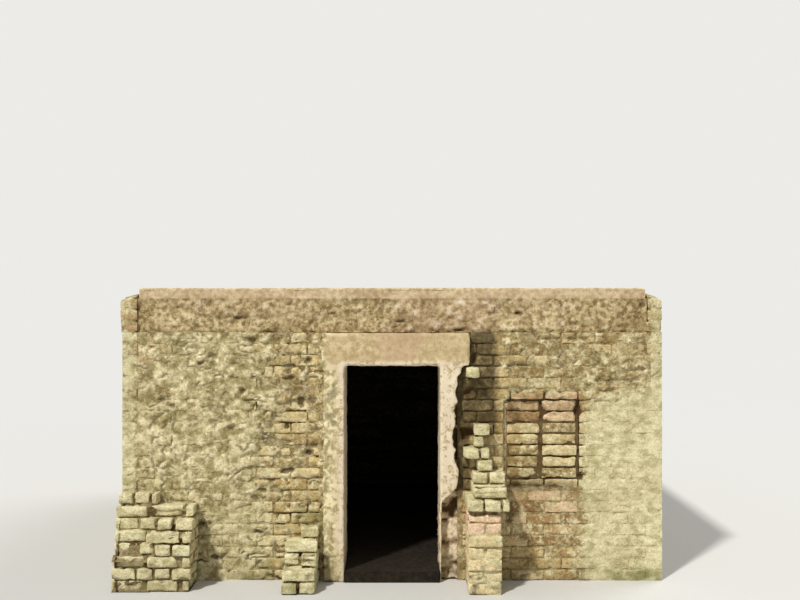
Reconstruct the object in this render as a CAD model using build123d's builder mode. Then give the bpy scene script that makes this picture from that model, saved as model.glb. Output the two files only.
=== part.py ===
from build123d import *
import os

# A small square shelter of brick and mass concrete, seen with its open doorway in front (-Y).
# A half-brick outer leaf wraps a cast concrete core, a concrete slab roofs it, and a cast
# concrete surround frames the doorway. Broken stubs of two wing walls and of a corner wall
# are left standing against the front. Z = 0 is the lowest ground that the walls meet.

os.makedirs("parts", exist_ok=True)

# Brickwork
course = 76.0  # one course with its bed joint
brick_pitch = 228.0  # one brick length with its upright joint
joint = 9.0
leaf_thickness = 105.0  # one brick width
plan_bricks = 16  # bricks along each side of the square plan

# Concrete core and floor
core_thickness = 276.0
floor_thickness = 75.0

# Roof
kerb_courses = 3  # brick kerb that shutters the slab on its two sides
screed_thickness = 75.0
screed_arris_radius = 18.0
slab_setback = 18.0  # slab edge behind the brick face, front and back
kerb_proud = 14.0  # left kerb overhangs the wall below it
haunch_low = 12.0  # mortar haunch on the kerb, at its outer edge
haunch_high = 46.0  # and where it meets the screed
kerb_break_length = 150.0  # broken front end of each kerb
kerb_break_drop = 26.0  # how far it falls away over that length

# Doorway and its concrete surround
door_width = 635.0
door_courses = 19  # ground to the underside of the lintel
lintel_courses = 3  # lintel, up to the underside of the roof slab
jamb_width = 152.0
surround_proud = 50.0
lintel_left_bearing = 166.0
lintel_right_bearing = 208.0
lintel_arris = 6.0
spall_depth = 72.0  # broken face of the right jamb

# Bricked-up loophole to the right of the doorway
loophole_width = 505.0
loophole_courses = 7
loophole_sill_course = 9
loophole_offset = 141.0  # its middle, from the middle of the wall panel towards the doorway
loophole_splay = 90.0  # widening on each side at the room face
infill_setback = 14.0

# Stubs of the broken walls in front
wing_gap = 22.0  # between a jamb and a wing wall
fracture_lean = 14.0  # how far a broken brick end leans back over one course
smallest_step = 0.5  # two courses whose ends differ by less are drawn flush
corner_stub_width = 524.0

# Derived sizes
half_plan = plan_bricks * brick_pitch / 2
wall_height = (door_courses + lintel_courses) * course
wall_thickness = leaf_thickness + core_thickness
slab_thickness = kerb_courses * course
leaf_inner = half_plan - leaf_thickness
room_half = half_plan - wall_thickness
door_half = door_width / 2
door_height = door_courses * course
lintel_height = lintel_courses * course
jamb_outer = door_half + jamb_width
surround_front = half_plan + surround_proud
loophole_middle = (jamb_outer + half_plan) / 2 - loophole_offset
wing_near = jamb_outer + wing_gap
wing_thickness = 2 * leaf_thickness + joint
wing_skin = leaf_thickness + joint  # each of its two skins reaches across the mortar between them
corner_skin = (corner_stub_width + joint) / 2
corner_stub_end = corner_stub_width - half_plan

# Broken edge of the right jamb: remaining share of its width, at each height up the opening
jamb_break = (
    (0.10, 0.00),
    (0.14, 0.37),
    (0.34, 0.40),
    (0.72, 0.42),
    (0.84, 0.46),
    (0.90, 0.53),
    (0.74, 0.58),
    (0.80, 0.64),
    (0.70, 0.70),
    (0.86, 0.76),
    (0.94, 0.88),
    (1.00, 0.94),
    (1.00, 1.00),
)

# How far each course of a stub still reaches in front of the wall, ground course first
right_wing_inner = (345, 352, 340, 348, 342, 350, 328)
right_wing_outer = (350, 340, 352, 342, 350, 338, 330)
right_wing_bonder_course = 7  # this course oversails the pier below it
right_wing_bonder_reach = 362.0
right_wing_bonder_oversail = 46.0
left_wing_inner = (340, 332, 246, 172, 84)
left_wing_outer = (348, 318, 204, 96)
corner_stub_inner = (286, 292, 280, 288, 262, 214, 130)
corner_stub_outer = (290, 282, 270, 236, 204, 180, 152, 118)

# Bricks left toothed into the wall above that course: the lowest course of each group, then how
# far it starts from the stub's side at the jamb, its width, and the reach of each of its courses
right_wing_teeth_courses = (8, 10, 11, 12, 13, 18)
right_wing_teeth = (
    (34.0, 219.0, (306, 196)),
    (69.0, 105.0, (158,)),
    (-18.0, 175.0, (150,)),
    (46.0, 72.0, (118,)),
    (52.0, 105.0, (112,)),
    (0.0, 96.0, (92,)),
)


def finish(piece, name):
    """Names a finished piece and writes it out."""
    piece.part.label = name
    export_step(piece.part, f"parts/{name}.step")


def block(x_span, y_span, z_span):
    """A plain block between two values on each axis."""
    with BuildPart() as piece:
        with BuildSketch(Plane.XY.offset(z_span[0])):
            with Locations((sum(x_span) / 2, sum(y_span) / 2)):
                Rectangle(x_span[1] - x_span[0], y_span[1] - y_span[0])
        extrude(amount=z_span[1] - z_span[0])
    return piece


def beside_doorway(side, face, thickness, outer_x):
    """The front wall on one side of the doorway, notched over the jamb for the lintel's end."""
    bearing = lintel_left_bearing if side < 0 else lintel_right_bearing
    lintel_end = door_half + bearing
    with BuildPart() as piece:
        with BuildSketch(Plane.XZ.offset(face)):
            with BuildLine():
                Polyline(
                    (side * jamb_outer, 0),
                    (side * outer_x, 0),
                    (side * outer_x, wall_height),
                    (side * lintel_end, wall_height),
                    (side * lintel_end, door_height),
                    (side * jamb_outer, door_height),
                    close=True,
                )
            make_face()
        extrude(amount=-thickness)
    return piece


def loophole_frame(depth, margin):
    """The loophole's outline, upright at a distance behind the front face, widened by a margin."""
    sill = loophole_sill_course * course
    head = sill + loophole_courses * course
    with BuildSketch(Plane.XZ.offset(half_plan - depth)) as frame:
        with Locations((loophole_middle, (sill + head) / 2)):
            Rectangle(loophole_width + 2 * margin, head - sill + 2 * margin)
    return frame


def broken_profile(reaches, lowest):
    """Side outline of a broken wall: courses racked back up the wall face, each end leaning."""
    points = [(0, lowest * course)]
    for level, reach in enumerate(reaches, lowest):
        lean = fracture_lean if level % 2 else -fracture_lean / 2
        if abs(points[-1][0] - reach) > smallest_step:
            points.append((reach, level * course))
        points.append((reach - lean, (level + 1) * course))
    points.append((0, (lowest + len(reaches)) * course))
    return points


def broken_end(start_x, reaches, lowest=0):
    """The side outline of a broken wall that stands against the front face, at start_x."""
    side_view = Plane(origin=(start_x, -half_plan, 0), x_dir=(0, -1, 0), z_dir=(-1, 0, 0))
    with BuildSketch(side_view) as outline:
        with BuildLine():
            Polyline(*broken_profile(reaches, lowest), close=True)
        make_face()
    return outline


# Floor, with a tongue through the doorway to the front of the surround
with BuildPart() as floor_slab:
    with BuildSketch():
        Rectangle(2 * room_half, 2 * room_half)
        with Locations((0, -room_half)):
            Rectangle(door_width, surround_front - room_half, align=(Align.CENTER, Align.MAX))
    extrude(amount=floor_thickness)
finish(floor_slab, "floor_slab")

# Concrete core: side walls run the full depth, front and rear walls stand between them
for name, side in (("left_core", -1), ("right_core", 1)):
    x_span = sorted((side * room_half, side * leaf_inner))
    finish(block(x_span, (-leaf_inner, leaf_inner), (0, wall_height)), name)

finish(
    block((-room_half, room_half), (room_half, leaf_inner), (0, wall_height)),
    "rear_core",
)

finish(beside_doorway(-1, leaf_inner, core_thickness, room_half), "front_core_left")

front_core_right = beside_doorway(1, leaf_inner, core_thickness, room_half)
with front_core_right:
    throat = loophole_frame(leaf_thickness, 0)
    room_side = loophole_frame(wall_thickness, loophole_splay)
    loft([throat.sketch, room_side.sketch], mode=Mode.SUBTRACT)
finish(front_core_right, "front_core_right")

# Outer brick leaf: side walls run the full depth, so that their ends show at the front
for name, side in (("left_leaf", -1), ("right_leaf", 1)):
    x_span = sorted((side * leaf_inner, side * half_plan))
    finish(block(x_span, (-half_plan, half_plan), (0, wall_height)), name)

finish(
    block((-leaf_inner, leaf_inner), (leaf_inner, half_plan), (0, wall_height)),
    "rear_leaf",
)

finish(beside_doorway(-1, half_plan, leaf_thickness, leaf_inner), "front_leaf_left")

front_leaf_right = beside_doorway(1, half_plan, leaf_thickness, leaf_inner)
with front_leaf_right:
    extrude(loophole_frame(0, 0).sketch, amount=-leaf_thickness, mode=Mode.SUBTRACT)
finish(front_leaf_right, "front_leaf_right")

with BuildPart() as loophole_infill:
    extrude(loophole_frame(infill_setback, 0).sketch, amount=-leaf_thickness)
finish(loophole_infill, "loophole_infill")

# Doorway surround, cast through the full wall and standing proud of it
with BuildPart() as door_lintel:
    with BuildSketch(Plane.XZ.offset(surround_front)):
        with Locations((-door_half - lintel_left_bearing, door_height)):
            Rectangle(
                lintel_left_bearing + door_width + lintel_right_bearing,
                lintel_height,
                align=(Align.MIN, Align.MIN),
            )
    extrude(amount=-(wall_thickness + surround_proud))
    front_rim = door_lintel.faces().sort_by(Axis.Y)[0].edges()
    chamfer(front_rim, length=lintel_arris)
finish(door_lintel, "door_lintel")

left_jamb = block((-jamb_outer, -door_half), (-surround_front, -room_half), (0, door_height))
with left_jamb:
    reveal_arris = left_jamb.edges().filter_by(Axis.Z).group_by(Axis.Y)[0].sort_by(Axis.X)[-1]
    chamfer(reveal_arris, length=lintel_arris)
finish(left_jamb, "left_jamb")

with BuildPart() as right_jamb:
    with BuildSketch():
        with Locations((door_half, -room_half)):
            Rectangle(
                jamb_width,
                surround_front - spall_depth - room_half,
                align=(Align.MIN, Align.MAX),
            )
    extrude(amount=door_height)
    with BuildSketch(Plane.XZ.offset(surround_front)):
        with BuildLine():
            ragged = [
                (door_half + share * jamb_width, rise * door_height) for share, rise in jamb_break
            ]
            Polyline((door_half, 0), *ragged, (door_half, door_height), close=True)
        make_face()
    extrude(amount=-spall_depth)
    front_uprights = right_jamb.edges().filter_by(Axis.Z).group_by(Axis.Y)[0]
    chamfer(front_uprights.sort_by(Axis.X)[0], length=lintel_arris)
finish(right_jamb, "right_jamb")

# Roof: a concrete slab between two brick kerbs, with a screed laid over it
slab_half_depth = half_plan - slab_setback
slab_top = wall_height + slab_thickness
finish(
    block(
        (-leaf_inner, leaf_inner), (-slab_half_depth, slab_half_depth), (wall_height, slab_top)
    ),
    "roof_slab",
)

roof_screed = block(
    (-leaf_inner, leaf_inner),
    (-slab_half_depth, slab_half_depth),
    (slab_top, slab_top + screed_thickness),
)
with roof_screed:
    fillet(roof_screed.faces().sort_by(Axis.Z)[-1].edges(), radius=screed_arris_radius)
finish(roof_screed, "roof_screed")

for name, side, proud in (("left_kerb", -1, kerb_proud), ("right_kerb", 1, 0)):
    outer = half_plan + proud
    with BuildPart() as kerb:
        with BuildSketch(Plane.XZ.offset(half_plan)):
            with BuildLine():
                Polyline(
                    (side * leaf_inner, wall_height),
                    (side * outer, wall_height),
                    (side * outer, slab_top + haunch_low),
                    (side * leaf_inner, slab_top + haunch_high),
                    close=True,
                )
            make_face()
        extrude(amount=-2 * half_plan)
        front_top = kerb.faces().sort_by(Axis.Y)[0].edges().sort_by(Axis.Z)[-1]
        front_face = kerb.faces().sort_by(Axis.Y)[0]
        chamfer(front_top, length=kerb_break_drop, length2=kerb_break_length, reference=front_face)
    finish(kerb, name)

# Stubs of the wing walls on both sides of the doorway, two skins of half a brick each
with BuildPart() as right_wing_stub:
    extrude(broken_end(wing_near + wing_skin, right_wing_inner).sketch, amount=wing_skin)
    extrude(broken_end(wing_near + wing_thickness, right_wing_outer).sketch, amount=wing_skin)
    with BuildSketch(Plane.XY.offset(right_wing_bonder_course * course)):
        with Locations((wing_near - wing_gap / 2, -half_plan)):
            Rectangle(
                wing_gap / 2 + wing_thickness + right_wing_bonder_oversail,
                right_wing_bonder_reach,
                align=(Align.MIN, Align.MAX),
            )
    extrude(amount=course)
    for lowest, (set_in, width, reaches) in zip(right_wing_teeth_courses, right_wing_teeth):
        tooth = broken_end(wing_near + set_in + width, reaches, lowest)
        extrude(tooth.sketch, amount=width)
finish(right_wing_stub, "right_wing_stub")

with BuildPart() as left_wing_stub:
    extrude(broken_end(-wing_near, left_wing_inner).sketch, amount=wing_skin)
    extrude(broken_end(-wing_near - leaf_thickness, left_wing_outer).sketch, amount=wing_skin)
finish(left_wing_stub, "left_wing_stub")

# Stub of a wall that ran forward from the left corner
with BuildPart() as left_corner_stub:
    extrude(broken_end(corner_skin - half_plan, corner_stub_outer).sketch, amount=corner_skin)
    extrude(broken_end(corner_stub_end, corner_stub_inner).sketch, amount=corner_skin)
finish(left_corner_stub, "left_corner_stub")
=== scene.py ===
# The looks of a small flat-roofed shelter: weathered brickwork laid brick by brick in the packed
# walls, worn concrete for the roof and the doorway, a studio floor, lights and a camera.
import math

import bpy
import numpy as np
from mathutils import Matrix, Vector
from mathutils.bvhtree import BVHTree


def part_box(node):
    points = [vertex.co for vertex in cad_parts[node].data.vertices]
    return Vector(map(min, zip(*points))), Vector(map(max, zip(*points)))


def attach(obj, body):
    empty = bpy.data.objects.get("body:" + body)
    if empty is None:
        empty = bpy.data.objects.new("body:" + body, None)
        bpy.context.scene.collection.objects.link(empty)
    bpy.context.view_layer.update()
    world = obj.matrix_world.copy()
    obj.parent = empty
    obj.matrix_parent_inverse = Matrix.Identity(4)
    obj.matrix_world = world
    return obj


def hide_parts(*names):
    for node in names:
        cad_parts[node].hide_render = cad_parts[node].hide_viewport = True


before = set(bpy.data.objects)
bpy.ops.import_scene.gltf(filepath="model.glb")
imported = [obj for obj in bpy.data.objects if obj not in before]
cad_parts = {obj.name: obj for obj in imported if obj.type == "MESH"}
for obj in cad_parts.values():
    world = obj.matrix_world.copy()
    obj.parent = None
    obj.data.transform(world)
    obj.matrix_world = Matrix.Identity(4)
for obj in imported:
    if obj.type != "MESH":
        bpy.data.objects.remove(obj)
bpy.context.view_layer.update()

# Sizes of the brickwork, worked out from the frame, in metres
WALL_COURSES = 22
KERB_COURSES = 3
PLAN_BRICKS = 16
JOINT = 0.009
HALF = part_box("right_leaf")[1].x
WALL_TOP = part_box("left_leaf")[1].z
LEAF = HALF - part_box("right_leaf")[0].x
COURSE = WALL_TOP / WALL_COURSES
PITCH = 2 * HALF / PLAN_BRICKS
HEADER = LEAF + JOINT
DOOR_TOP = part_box("door_lintel")[0].z
LINTEL_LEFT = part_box("door_lintel")[0].x
LINTEL_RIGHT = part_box("door_lintel")[1].x
JAMB_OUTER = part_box("right_jamb")[1].x
HOLE_LOW, HOLE_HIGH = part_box("loophole_infill")
SMALLEST_BAT = 0.035  # a cut brick shorter than this is left to the mortar
FACE_REST = 0.006  # how far a sound brick face lies behind the solid's face

# Repeatable randomness
HASH_FACTORS = (374761393, 668265263, 1440662683, 974634777)
HASH_STIR = 1274126177
OCTAVE_SHIFT = 31.7
OCTAVE_WEIGHT = 0.6
NOISE_REACH = 1.6


def lattice(*values):
    """A repeatable random value from 0 to 1 for a whole-number point and a seed."""
    mixed = sum(value * factor for value, factor in zip(values, HASH_FACTORS))
    mixed = (mixed ^ (mixed >> 13)) & 0xFFFFFFFF
    mixed = (mixed * HASH_STIR) & 0xFFFFFFFF
    return ((mixed ^ (mixed >> 16)) & 0xFFFFFF) / 0xFFFFFF


def noise(points, size, seed=0, octaves=3):
    """Smooth noise from about -1 to 1, whose largest lumps are size metres wide."""
    total = np.zeros(len(points))
    weight = 0.0
    for octave in range(octaves):
        scaled = points * (2**octave / size) + OCTAVE_SHIFT * octave
        cell = np.floor(scaled).astype(np.int64)
        part = scaled - cell
        part = part * part * (3 - 2 * part)
        value = np.zeros(len(points))
        for corner in range(8):
            step = np.array([corner & 1, corner >> 1 & 1, corner >> 2 & 1])
            share = np.prod(np.where(step, part, 1 - part), axis=1)
            value += share * lattice(*(cell + step).T, seed + octave)
        total += (2 * value - 1) * OCTAVE_WEIGHT**octave
        weight += OCTAVE_WEIGHT**octave
    return total * NOISE_REACH / weight


def step_up(value, low, high):
    """0 below low, 1 above high, smooth between; the other way round where low is the higher."""
    share = np.clip((value - low) / (high - low), 0, 1)
    return share * share * (3 - 2 * share)


def band(value, low, high, soft):
    """1 between low and high, falling to 0 over the distance soft outside them."""
    return step_up(value, low - soft, low) * step_up(value, high + soft, high)


# Mesh building
class Face:
    """A flat side of the building: u runs right, v up and depth inwards, seen from outside."""

    def __init__(self, side, origin, u_axis, v_axis):
        self.side = side
        self.origin = np.array(origin, float)
        self.u_axis = np.array(u_axis, float)
        self.v_axis = np.array(v_axis, float)
        self.inward = -np.cross(self.u_axis, self.v_axis)

    def place(self, local):
        """Points given as u, v, depth in the last axis, in the row frame."""
        u, v, depth = (local[..., i : i + 1] for i in range(3))
        return self.origin + u * self.u_axis + v * self.v_axis + depth * self.inward


FRONT = Face("front", (0, -HALF, 0), (1, 0, 0), (0, 0, 1))
REAR = Face("rear", (0, HALF, 0), (-1, 0, 0), (0, 0, 1))
LEFT = Face("left", (-HALF, 0, 0), (0, -1, 0), (0, 0, 1))
RIGHT = Face("right", (HALF, 0, 0), (0, 1, 0), (0, 0, 1))


def block_net(columns, rows, layers):
    """A closed block as shares of its size, its quads, and the ring of its flat back.

    columns, rows and layers are rising lists from 0 to 1: its front is a grid of columns and
    rows, and its four edges are divided by the layers.
    """
    wide, high = len(columns), len(rows)
    across, up = np.meshgrid(columns, rows)
    front = np.stack([across.ravel(), up.ravel(), np.zeros(wide * high)], axis=1)
    index = np.arange(wide * high).reshape(high, wide)
    corners = [index[:-1, :-1], index[:-1, 1:], index[1:, 1:], index[1:, :-1]]
    quads = [np.stack(corners, axis=-1).reshape(-1, 4)]
    ring = np.concatenate([index[0, :-1], index[:-1, -1], index[-1, :0:-1], index[:0:-1, 0]])
    points = [front]
    previous = ring
    for place, layer in enumerate(layers[1:]):
        deeper = front[ring].copy()
        deeper[:, 2] = layer
        current = len(front) + place * len(ring) + np.arange(len(ring))
        points.append(deeper)
        sides = [previous, current, np.roll(current, -1), np.roll(previous, -1)]
        quads.append(np.stack(sides, axis=-1))
        previous = current
    return np.concatenate(points), np.concatenate(quads), previous[::-1]


def rounded(points, near, far, radius):
    """A block's points, rounded by a radius about an inner box, and the outward direction at each."""
    inner = np.clip(points, near, far)
    offset = points - inner
    length = np.linalg.norm(offset, axis=-1, keepdims=True)
    outward = offset / np.maximum(length, 1e-9)
    return inner + outward * np.minimum(length, radius), outward


def vectors_of(items, name):
    """A vector that each of a mesh's items has, as an array."""
    values = np.empty(len(items) * 3, np.float32)
    items.foreach_get(name, values)
    return values.reshape(-1, 3).astype(float)


def put_fields(mesh, fields):
    """Stores numbers for each point, for the materials to read."""
    for name, values in fields.items():
        values = np.broadcast_to(values, len(mesh.vertices)).astype(np.float32)
        mesh.attributes.new(name, "FLOAT", "POINT").data.foreach_set("value", values)


def clipped(fields):
    """The fields kept between 0 and 1."""
    return {name: np.clip(values, 0, 1) for name, values in fields.items()}


class Masonry:
    """Collects closed blocks and turns them into one mesh."""

    def __init__(self):
        self.parts = []
        self.count = 0

    def add(self, points, net, slot, **fields):
        """Adds copies of a net; points is (copies, net points, 3), a field one value a copy or point."""
        copies, size = points.shape[:2]
        starts = self.count + np.arange(copies) * size
        quads = (net[1][None] + starts[:, None, None]).reshape(-1, 4)
        backs = net[2][None] + starts[:, None]
        fields = {name: np.broadcast_to(value, (copies, size)).ravel() for name, value in fields.items()}
        self.parts.append((points.reshape(-1, 3), quads, backs, slot, fields))
        self.count += copies * size

    def mesh(self, name):
        """The collected blocks as a mesh, with their fields as point attributes."""
        points, quads, backs, slots, fields = zip(*self.parts)
        faces = [*quads, *backs]
        corners = np.concatenate([part.ravel() for part in faces])
        sizes = np.concatenate([np.full(len(part), part.shape[1]) for part in faces])
        owners = np.concatenate([np.full(len(part), slot) for part, slot in zip(faces, slots * 2)])
        mesh = bpy.data.meshes.new(name)
        mesh.vertices.add(self.count)
        mesh.vertices.foreach_set("co", np.concatenate(points).astype(np.float32).ravel())
        mesh.loops.add(len(corners))
        mesh.loops.foreach_set("vertex_index", corners.astype(np.int32))
        mesh.polygons.add(len(sizes))
        mesh.polygons.foreach_set("loop_start", (np.cumsum(sizes) - sizes).astype(np.int32))
        mesh.update(calc_edges=True)
        mesh.polygons.foreach_set("material_index", owners.astype(np.int32))
        put_fields(mesh, {key: np.concatenate([part[key] for part in fields]) for key in fields[0]})
        return mesh


SHARP_ANGLE = math.radians(60)


def place_piece(mesh, nodes, slot, *materials):
    """Puts a finished mesh in the scene in place of CAD nodes."""
    for material in materials:
        mesh.materials.append(material)
    corners = np.empty(len(mesh.polygons), np.int32)
    mesh.polygons.foreach_get("loop_total", corners)
    mesh.polygons.foreach_set("use_smooth", corners <= 4)
    mesh.set_sharp_from_angle(angle=SHARP_ANGLE)
    piece = bpy.data.objects.new(mesh.name, mesh)
    bpy.context.scene.collection.objects.link(piece)
    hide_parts(*nodes)
    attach(piece, "root")


# How the walls have weathered, with the shade painted on them, by place
ALONG = {"front": (1, 0), "rear": (-1, 0), "left": (0, -1), "right": (0, 1), "stub": (1, 0)}
OWN_NOISE = {"front": 0.0, "left": 5.3, "right": 11.9, "rear": 23.1, "stub": 31.7}
CORNER_STRIP = 0.07
CORNER_FADE = 0.03
END_DEPTH = 0.03  # what of a side wall lies this near the front shares the front's weathering


def wall_points(u, v, side):
    """Places of a wall face as points that no other side shares, for noise."""
    return np.stack([u, np.full_like(u, OWN_NOISE[side]), v], axis=1)


def weigh(kind, **weights):
    """The kinds of surface at each place, added up by weight."""
    return sum(weight * kind[name] for name, weight in weights.items())


def front_zones(u, v, patchy):
    """How far each place of the front belongs to each kind of surface."""
    over_patch = step_up(u, 0.66, 0.80) * step_up(v + 0.10 * patchy, 1.22, 1.34)
    left_of_door = 0.85 * band(u, -1.00, -0.40, 0.06) * step_up(v + 0.12 * patchy, 1.05, 1.20)
    # Painted shade with a real stain to the right of the lintel, and painted shade in the pocket between the
    # right jamb and the pier
    shade = band(u + 0.03 * patchy, 0.46, 0.66, 0.10) * band(v, 1.02, 1.68, 0.12)
    pocket = band(u, 0.42, 0.515, 0.025) * band(v + 0.04 * patchy, 0.62, 1.42, 0.06)
    pink_right = band(u + 0.04 * patchy, 0.86, 1.22, 0.10) * band(v, 0.30, 0.60, 0.07)
    pink_left = 0.7 * band(u + 0.04 * patchy, -1.22, -0.98, 0.08) * band(v, 0.24, 0.44, 0.06)
    return {
        "crust": step_up(u + 0.14 * patchy, -0.72, -1.02),
        "swirled": over_patch + left_of_door,
        "rough": band(u + 0.07 * patchy, -0.92, -0.45, 0.14),
        "shade": np.maximum(shade, pocket),
        "patch": band(u, HOLE_LOW.x + 0.035, HOLE_HIGH.x + 0.01, 0.03) * band(v, 0.66, 1.24, 0.05),
        "pink": np.maximum(pink_right, pink_left),
        "wash": step_up(u + 0.04 * patchy, 1.25, 1.36) * step_up(v + 0.16 * patchy, 1.34, 1.10),
    }


def zones(u, v, side):
    """How far each place of a wall face belongs to each kind of surface, from 0 to 1.

    crust is lichened and smoothed over, swirled is crusted in part, rough is crumbled, shade is
    painted shade with a real stain beside the lintel and painted shade in the pocket by the right
    jamb, patch has raked out joints, pink is smooth reddish brick, the limewash kind is limewashed
    and strip is a pale corner of limewash with a painted highlight of its lit arris.
    """
    at = wall_points(u, v, side)
    patchy = noise(at, 0.30, seed=12)
    inner = HALF - CORNER_STRIP
    # The pale corner strip is limewash with a painted highlight for its lit arris.
    strip = step_up(np.abs(u) + 0.01 * patchy, inner - CORNER_FADE, inner)
    if side == "front":
        strip = strip * (0.75 + 0.25 * step_up(u, 0, 0.1))
        return {**front_zones(u, v, patchy), "strip": strip}
    broad = noise(at, 0.95, seed=11, octaves=2)
    ruddy = noise(at, 0.55, seed=14)
    limed = noise(at, 0.80, seed=15)
    return {
        "crust": 0.65 * step_up(broad, 0.0, 0.55),
        "swirled": 0.7 * step_up(np.abs(broad), 0.30, 0.10),
        "rough": step_up(broad, -0.15, -0.60),
        "shade": 0 * u,
        "patch": 0.7 * step_up(limed, -0.45, -0.9),
        "pink": 0.7 * step_up(ruddy, 0.45, 0.9),
        "wash": 0.8 * step_up(limed, 0.35, 0.75) * band(v, 0.25, 1.25, 0.25),
        "strip": 0.5 * strip * (side != "stub"),
    }


STROKE_SIZE = 0.052
STROKE_STEP = 0.008


def strokes(u, v, side, kind):
    """Short curving grooves where crust and mortar have opened, from 0 to 1."""
    at = wall_points(u, v, side) * (0.62, 1, 1)
    here, beside, above = (
        noise(at + shift, STROKE_SIZE, seed=41, octaves=2)
        for shift in ((0, 0, 0), (STROKE_STEP, 0, 0), (0, 0, STROKE_STEP))
    )
    slope = np.hypot(beside - here, above - here) / STROKE_STEP
    away = np.abs(here) / np.maximum(slope, 4.0)
    kept = step_up(noise(at, 0.055, seed=43, octaves=2), -0.10, 0.30)
    share = 0.50 + weigh(kind, crust=0.50, rough=0.50, swirled=0.4)
    share -= weigh(kind, patch=0.45, wash=0.45, pink=0.45, shade=0.45)
    return step_up(away, 0.012, 0.003) * kept * np.clip(share, 0, 1)


def lumps_of(u, v, side):
    """Lumps that run over bricks and mortar alike, from about -1, sunken, to 1, proud."""
    return noise(wall_points(u, v, side) * (0.75, 1, 1), 0.042, seed=51, octaves=2)


def weather(points, side):
    """What the materials need to know at points of the row frame, each from 0 to 1."""
    fields = side_weather(points, side)
    if side in ("left", "right"):
        ends = points[:, 1] < END_DEPTH - HALF
        shown = side_weather(points[ends], "front")
        for name, values in fields.items():
            values[ends] = shown[name]
    return fields


def side_weather(points, side):
    """The weathering of points that belong to one side of the building, with painted shade in its dark places.
    """
    u = points[:, 0] * ALONG[side][0] + points[:, 1] * ALONG[side][1]
    v = points[:, 2]
    kind = zones(u, v, side)
    patchy = noise(points, 0.22, seed=16)
    drips = step_up(noise(points * (1, 1, 0.2), 0.12, seed=13), 0.40, 0.95)
    damp = step_up(v + 0.10 * patchy, 0.36, 0.0)
    limy = weigh(kind, rough=0.32, crust=0.256) * step_up(v, 1.30, 0.85)
    grooves = strokes(u, v, side, kind)
    # The dark dirt colour is painted shade in the grooves and in the shade kind, where it is also a real stain;
    # on drips and the damp foot it is dirt.
    fields = {
        "lichen": 0.42 + 0.06 * patchy + weigh(kind, crust=0.30, rough=0.01, swirled=0.02, wash=0.10),
        "wash": weigh(kind, wash=0.85, strip=0.95, pink=0.34) + limy,
        "grime": 0.80 * kind["shade"] + 0.12 * drips * step_up(v, 1.0, 1.65) + 0.35 * damp + 0.62 * grooves,
        "moss": 0.8 * damp * step_up(patchy, -0.4, 0.7),
        "warm": 0.30 + weigh(kind, rough=0.6, crust=-0.3),
        "red": 0.55 * kind["patch"] * step_up(v, 1.0, 1.12) + 0.6 * kind["pink"],
    }
    fields["lichen"] -= weigh(kind, shade=0.25, patch=0.16, pink=0.10)
    if side == "front":
        front_weather(fields, u, v, kind["patch"], patchy)
    return clipped(fields)


def front_weather(fields, u, v, patch, patchy):
    """Adds to the weathering what belongs to single places of the front."""
    behind_pier = band(u, 0.38, 0.52, 0.03) * step_up(v, 0.68, 0.58)
    corner = step_up(u, -1.42, -1.60) * step_up(v + 0.08 * patchy, 1.36, 1.46)
    kerb_foot = step_up(u, 0, -0.1) * band(v, WALL_TOP, 1.79, 0.012)
    cushion = band(u + 0.04 * patchy, -0.60, -0.45, 0.06) * band(v, 0.36, 0.46, 0.06)
    under_patch = band(u, 0.80, 1.22, 0.05) * band(v, 0.600, 0.665, 0.03)
    smeared = patch * step_up(u + 0.05 * patchy + 0.3 * (v - 0.9) ** 2, 0.87, 0.83)
    bare = patch * step_up(v, 1.12, 1.04) * (1 - 0.8 * smeared)
    fields["lichen"] -= 0.25 * behind_pier + 0.22 * corner + 0.15 * kerb_foot
    fields["wash"] += 0.30 * behind_pier - 0.22 * kerb_foot + 0.48 * bare
    fields["red"] += 0.55 * behind_pier + 0.30 * corner + 0.12 * kerb_foot
    fields["moss"] *= 1 - 0.8 * behind_pier
    fields["moss"] += 0.55 * cushion
    fields["grime"] += 0.50 * under_patch + 0.38 * patch * step_up(v, 1.02, 1.12) + 0.30 * smeared


def erosion(u, v, side):
    """Wear of the bricks at places of a wall face: 0 sound, 1 crumbling."""
    kind = zones(u, v, side)
    uneven = noise(wall_points(u, v, side), 0.5, seed=21, octaves=2)
    wear = 0.38 + 0.14 * uneven + weigh(kind, rough=0.34, shade=0.15, patch=0.42, crust=0.14)
    return np.clip(wear - weigh(kind, wash=0.16, pink=0.14), 0, 1)


def joint_depth(u, v, side, seed):
    """How far behind the wall face the mortar lies; in crust and limewash it laps over the bricks."""
    kind = zones(u, v, side)
    at = wall_points(u, v, side)
    raked = kind["patch"] * (0.45 + 0.55 * step_up(noise(at, 0.11, seed=seed + 9), -0.3, 0.4))
    crumbled = step_up(noise(at, 0.12, seed=seed + 6), 0.35, 1.0) * (0.3 + 0.7 * kind["rough"])
    depth = 0.016 + weigh(kind, rough=0.008, shade=0.006, pink=-0.006) + 0.016 * raked + 0.018 * crumbled
    filled = 0.55 + 0.45 * np.maximum(kind["crust"], kind["swirled"]) - weigh(kind, patch=1, shade=1, pink=1)
    crusted = np.maximum(kind["crust"], 0.9 * kind["swirled"])
    covered = step_up(noise(at, 0.09, seed=seed + 8), 0.25 - 0.70 * crusted, 0.65 - 0.50 * crusted)
    sound = 0.72 + 0.28 * step_up(noise(at, 0.20, seed=seed + 10), -0.2, 0.4)
    covered = np.clip(filled, 0, 1) * covered + sound * kind["wash"] + kind["strip"]
    covered = np.clip(covered, 0, 1)
    if side == "front":
        by_jamb = step_up(np.abs(u), JAMB_OUTER + 0.035, JAMB_OUTER + 0.015) * step_up(u, 0.1, 0)
        covered = np.maximum(covered, by_jamb)
    lumpy = 0.0065 - 0.0038 * np.clip(kind["wash"] + kind["strip"], 0, 1)
    lap = 0.0072 - 0.0012 * kind["wash"] - lumpy * lumps_of(u, v, side)
    depth = depth + covered * (lap - depth) + 0.0022 * noise(at, 0.035, seed=seed + 5)
    return np.maximum(depth, 0.001)


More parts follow.
